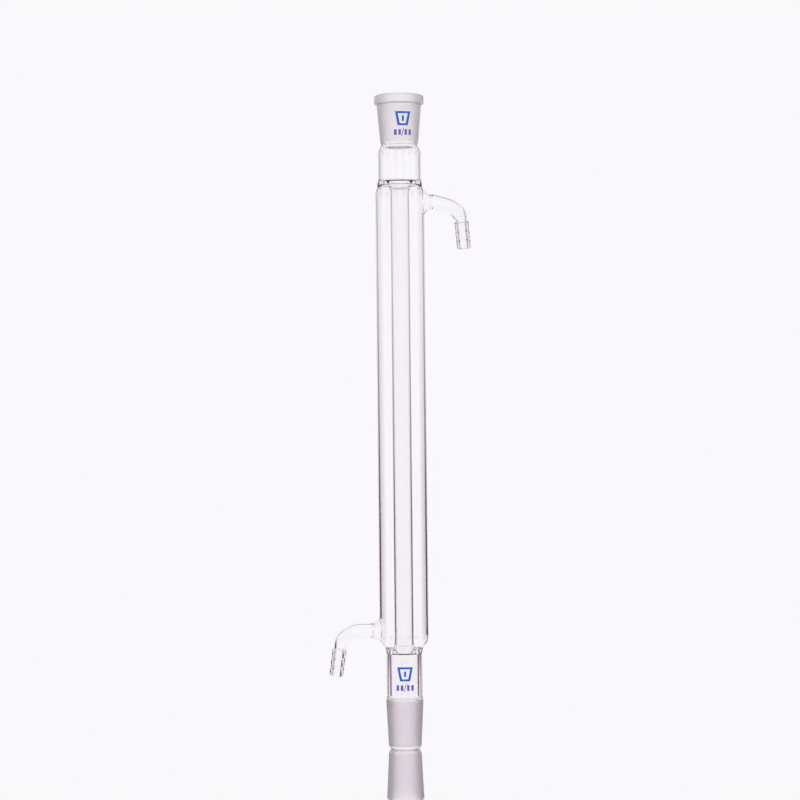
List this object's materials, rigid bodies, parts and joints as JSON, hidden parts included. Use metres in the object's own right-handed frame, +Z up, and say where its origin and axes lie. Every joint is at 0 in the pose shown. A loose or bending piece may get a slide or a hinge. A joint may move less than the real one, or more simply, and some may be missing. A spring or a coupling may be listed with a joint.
{
  "type": "liebig condenser",
  "caption": "Straight glass condenser with a cooling jacket, bent hose nozzles for water in and out, a ground socket at the top and a ground cone at the bottom.",
  "frame": {"origin": "On the tube axis, in the plane of the cone's lip, the lowest point of the glass.", "axes": "+Z runs up the tube from the cone to the socket. +X points to the upper arm, the water outlet. The fired marks face -Y."},
  "size_m": [0.0939, 0.032, 0.4225],
  "materials": {
    "clear_glass": "fire-polished",
    "ground_glass": "ground",
    "blue_enamel": "fired enamel"
  },
  "bodies": {
    "root": {"joint_socket": "ground_glass", "upper_neck": "clear_glass", "upper_ring_seal": "clear_glass", "inner_tube": "clear_glass", "jacket": "clear_glass", "outlet_tubulation": "clear_glass", "outlet_arm": "clear_glass", "outlet_barb": "clear_glass", "inlet_tubulation": "clear_glass", "inlet_arm": "clear_glass", "inlet_barb": "clear_glass", "lower_ring_seal": "clear_glass", "lower_neck": "clear_glass", "joint_cone": "ground_glass", "socket_mark": "blue_enamel", "neck_mark": "blue_enamel"}
  },
  "joints": []
}
